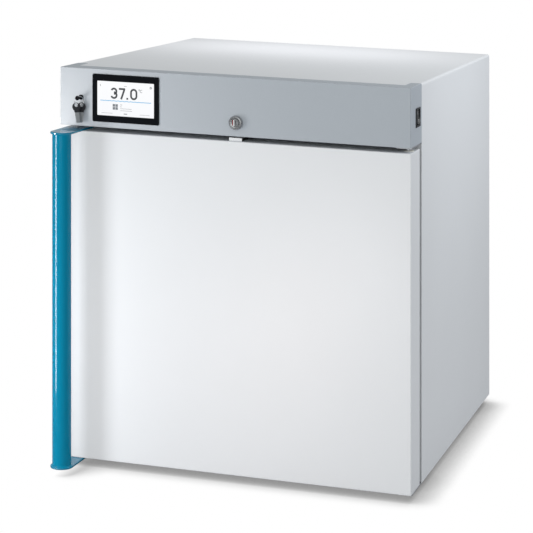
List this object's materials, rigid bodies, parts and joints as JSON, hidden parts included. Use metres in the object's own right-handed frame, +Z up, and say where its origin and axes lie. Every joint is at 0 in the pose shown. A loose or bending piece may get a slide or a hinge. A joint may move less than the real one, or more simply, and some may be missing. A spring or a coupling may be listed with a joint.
{
  "type": "laboratory incubator",
  "caption": "Bench-top laboratory incubator: insulated right-hinged door with a full-height tube handle, touch-screen fascia with door lock, fan-heated steel chamber with wire shelves.",
  "frame": {"origin": "on the bench, at the middle of the overall footprint, from the handle's front to the rear access stopper", "axes": "+Z up, +X towards the hinged side of the door (the viewer's right), -Y out of the door's front face"},
  "size_m": [0.5829, 0.695, 0.639],
  "materials": {
    "white_paint": "semi-gloss powder coat",
    "grey_paint": "satin powder coat",
    "teal_lacquer": "high gloss lacquer",
    "stainless": "brushed",
    "zinc_steel": "zinc plated",
    "chrome": "polished",
    "black_plastic": "gloss moulded",
    "black_matte": "fine moulded texture",
    "screen_glass": "lit display behind glass",
    "circuit_board": "solder resist",
    "mineral_wool": "matted fibre",
    "gasket_rubber": "soft extruded",
    "foot_rubber": "moulded rubber",
    "silicone": "moulded silicone",
    "nylon": "turned nylon",
    "fan_alloy": "die cast",
    "motor_enamel": "baked enamel",
    "heater_sheath": "heat tinted"
  },
  "bodies": {
    "cabinet": {"outer_casing": "white_paint", "rear_cover": "white_paint", "base_plate": "zinc_steel", "rubber_feet": "foot_rubber", "foot_screws": "zinc_steel", "front_frame": "white_paint", "compartment_floor": "zinc_steel", "chamber_liner": "stainless", "insulation_jacket": "mineral_wool", "shelf_runner_left": "stainless", "shelf_runner_right": "stainless", "air_baffle": "stainless", "fan_motor": "motor_enamel", "heater_coil": "heater_sheath", "temperature_probe": "stainless", "port_tube": "stainless", "control_fascia": "grey_paint", "display_bezel": "black_plastic", "touch_screen": "screen_glass", "display_board": "circuit_board", "lock_body": "chrome", "key_hook": "black_plastic", "switch_housing": "black_matte", "control_board": "circuit_board", "power_supply": "zinc_steel", "wiring_harness": "black_matte", "mains_inlet": "black_matte", "rear_screws": "zinc_steel", "hinge_bracket_upper": "zinc_steel", "hinge_bracket_lower": "zinc_steel", "hinge_screws": "zinc_steel"},
    "door": {"door_shell": "white_paint", "door_insulation": "mineral_wool", "door_inner_panel": "stainless", "door_gasket": "gasket_rubber", "striker": "white_paint", "handle_tube": "teal_lacquer", "handle_plate_upper": "teal_lacquer", "handle_plate_lower": "teal_lacquer", "handle_screws": "zinc_steel", "hinge_bushes": "nylon"},
    "lock_barrel": {"lock_plug": "chrome", "lock_cam": "zinc_steel"},
    "key_ring": {"key_ring": "chrome"},
    "key_left": {"key_left": "black_matte"},
    "key_right": {"key_right": "black_matte"},
    "rocker": {"switch_rocker": "black_plastic"},
    "fan": {"fan_wheel": "fan_alloy"},
    "shelf_upper": {"shelf_upper": "chrome"},
    "shelf_lower": {"shelf_lower": "chrome"},
    "stopper": {"port_plug": "silicone"}
  },
  "joints": [
    {"name": "door_hinge", "type": "hinge", "parent": "cabinet", "child": "door", "pos_m": [0.279, -0.2555, 0.276], "axis": [0, 0, 1], "range_deg": [0, 120]},
    {"name": "lock_turn", "type": "hinge", "parent": "cabinet", "child": "lock_barrel", "pos_m": [0.008, -0.2855, 0.568], "axis": [0, 1, 0], "range_deg": [0, 90]},
    {"name": "key_ring_swing", "type": "hinge", "parent": "cabinet", "child": "key_ring", "pos_m": [-0.254, -0.2937, 0.592], "axis": [0, 1, 0], "range_deg": [-30, 30]},
    {"name": "key_left_swing", "type": "hinge", "parent": "key_ring", "child": "key_left", "pos_m": [-0.25727, -0.29696, 0.58044], "axis": [0, 1, 0], "range_deg": [-20, 25]},
    {"name": "key_right_swing", "type": "hinge", "parent": "key_ring", "child": "key_right", "pos_m": [-0.25073, -0.29043, 0.58044], "axis": [0, 1, 0], "range_deg": [-25, 20]},
    {"name": "mains_rocker", "type": "hinge", "parent": "cabinet", "child": "rocker", "pos_m": [0.285, -0.2405, 0.589], "axis": [0, 1, 0], "range_deg": [0, 14]},
    {"name": "fan_spin", "type": "hinge", "parent": "cabinet", "child": "fan", "pos_m": [0, 0.1545, 0.275], "axis": [0, 1, 0], "continuous": true},
    {"name": "shelf_upper_slide", "type": "slide", "parent": "cabinet", "child": "shelf_upper", "axis": [0, -1, 0], "range_m": [0, 0.18]},
    {"name": "shelf_lower_slide", "type": "slide", "parent": "cabinet", "child": "shelf_lower", "axis": [0, -1, 0], "range_m": [0, 0.12]},
    {"name": "stopper_pull", "type": "slide", "parent": "cabinet", "child": "stopper", "axis": [0, 1, 0], "range_m": [0, 0.075]}
  ],
  "couplings": [
    {"joint": "shelf_upper_slide", "follows": "door_hinge", "m_per_rad": 0.082},
    {"joint": "shelf_lower_slide", "follows": "door_hinge", "m_per_rad": 0.05}
  ]
}
